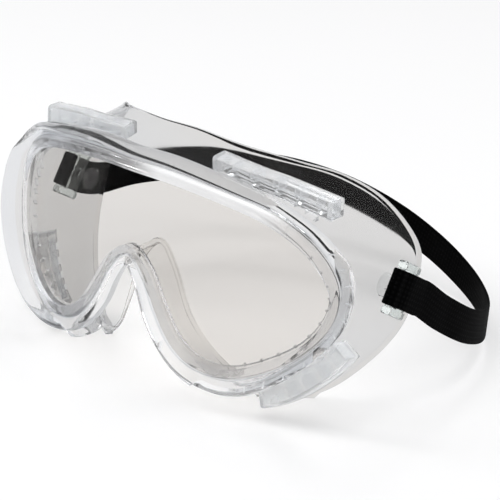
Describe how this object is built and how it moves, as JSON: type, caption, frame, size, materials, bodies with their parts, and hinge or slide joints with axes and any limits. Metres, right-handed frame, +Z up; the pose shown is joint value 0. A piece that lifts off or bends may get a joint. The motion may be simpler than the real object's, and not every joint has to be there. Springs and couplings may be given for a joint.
{
  "type": "safety goggles",
  "caption": "Clear chemical-splash goggles: curved lens in a soft vented face body, swivelling strap clips and a black elastic headband.",
  "frame": {"origin": "on the table, under the middle of the whole object's box, headband included", "axes": "+Z up, the lens faces -Y, the wearer's head is at +Y and the wearer's left ear at +X"},
  "size_m": [0.1752, 0.1877, 0.0993],
  "materials": {
    "soft_body": "clear soft vinyl, satin",
    "lens": "clear polycarbonate, polished",
    "cover": "clear moulded plastic, polished",
    "grille": "clear moulded plastic, satin",
    "stud": "clear moulded plastic, polished",
    "clip": "clear moulded plastic, polished",
    "elastic": "woven elastic, matt"
  },
  "bodies": {
    "goggles": {"face_body": "soft_body", "lens": "lens", "vent_cover_top_right": "cover", "vent_cover_top_left": "cover", "vent_cover_bottom_right": "cover", "vent_cover_bottom_left": "cover", "vent_grille_top_right": "grille", "vent_grille_top_left": "grille", "vent_grille_bottom_right": "grille", "vent_grille_bottom_left": "grille", "clip_stud_right": "stud", "clip_stud_left": "stud"},
    "band": {"strap_clip_right": "clip", "strap_clip_left": "clip", "headband": "elastic"}
  },
  "joints": [
    {"name": "headband_swing", "type": "hinge", "parent": "goggles", "child": "band", "pos_m": [0, -0.0287, 0.0505], "axis": [1, 0, 0], "range_deg": [-12, 110]}
  ]
}
